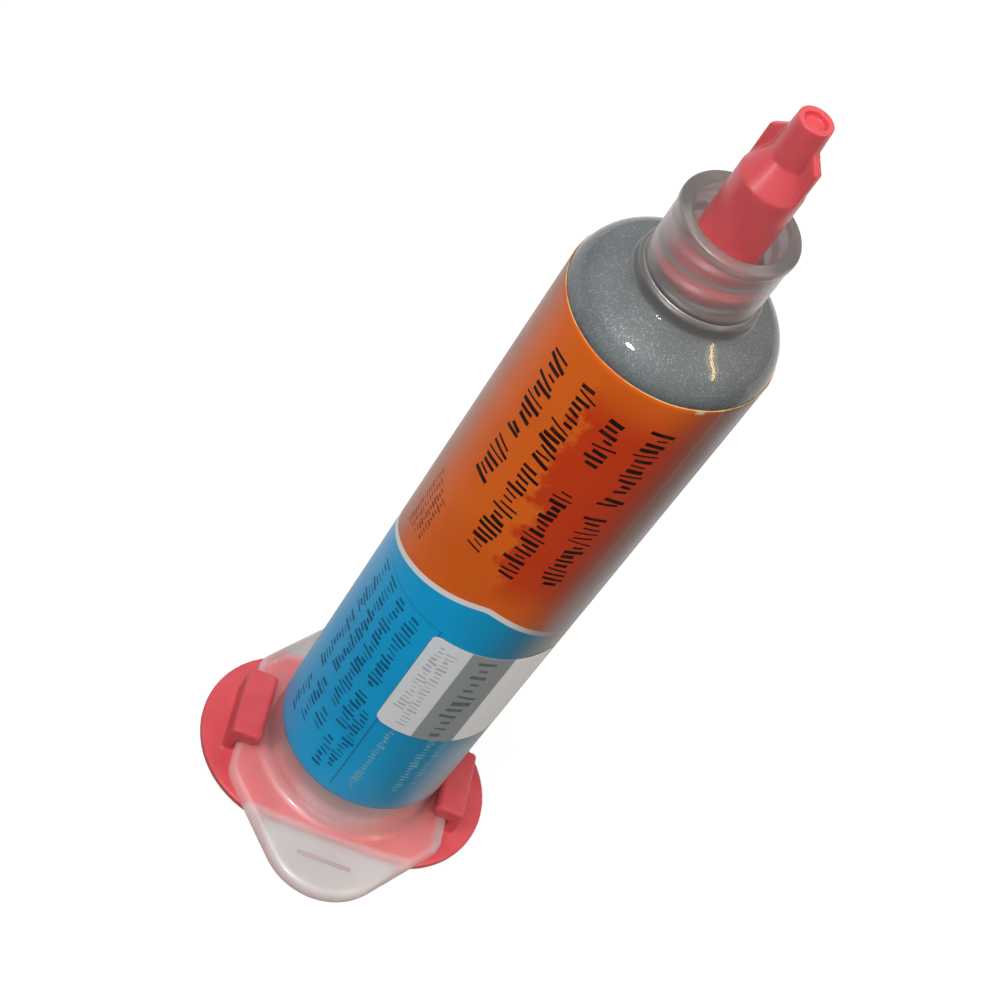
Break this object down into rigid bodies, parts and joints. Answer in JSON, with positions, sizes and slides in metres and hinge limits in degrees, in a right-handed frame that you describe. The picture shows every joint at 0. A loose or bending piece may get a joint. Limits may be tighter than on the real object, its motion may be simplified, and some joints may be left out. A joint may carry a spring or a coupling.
{
  "type": "solder paste syringe",
  "caption": "Filled dispensing syringe: clear barrel with luer end and finger flange, wrap label, paste, wiper piston, push-on end cap and finned tip cap.",
  "frame": {"origin": "centre of the end cap's flat back, on the barrel's axis", "axes": "+Z along the barrel's axis to the tip, X through the two ears of the finger flange, Y through the end cap's two wings and hooks"},
  "size_m": [0.0336, 0.0308, 0.0986],
  "materials": {
    "cap_plastic": "satin coral red moulding",
    "barrel_plastic": "smooth, slightly milky clear plastic",
    "label_film": "printed film, blue below and orange above",
    "sticker_paper": "white with one grey band",
    "paste": "dull grey metal powder in flux, with fine sparkle",
    "piston_plastic": "plain moulding"
  },
  "bodies": {
    "end_cap": {"end_cap": "cap_plastic"},
    "syringe": {"barrel": "barrel_plastic", "label": "label_film", "sticker": "sticker_paper", "solder_paste": "paste"},
    "piston": {"piston": "piston_plastic"},
    "tip_cap": {"tip_cap": "cap_plastic"}
  },
  "joints": [
    {"name": "end_cap_pull", "type": "slide", "parent": "end_cap", "child": "syringe", "axis": [0, 0, 1], "range_m": [0, 0.03]},
    {"name": "piston_stroke", "type": "slide", "parent": "syringe", "child": "piston", "axis": [0, 0, 1], "range_m": [0, 0.048], "deforming": ["solder_paste"]},
    {"name": "tip_cap_lift", "type": "slide", "parent": "syringe", "child": "tip_cap", "axis": [0, 0, 1], "range_m": [0, 0.024]}
  ]
}
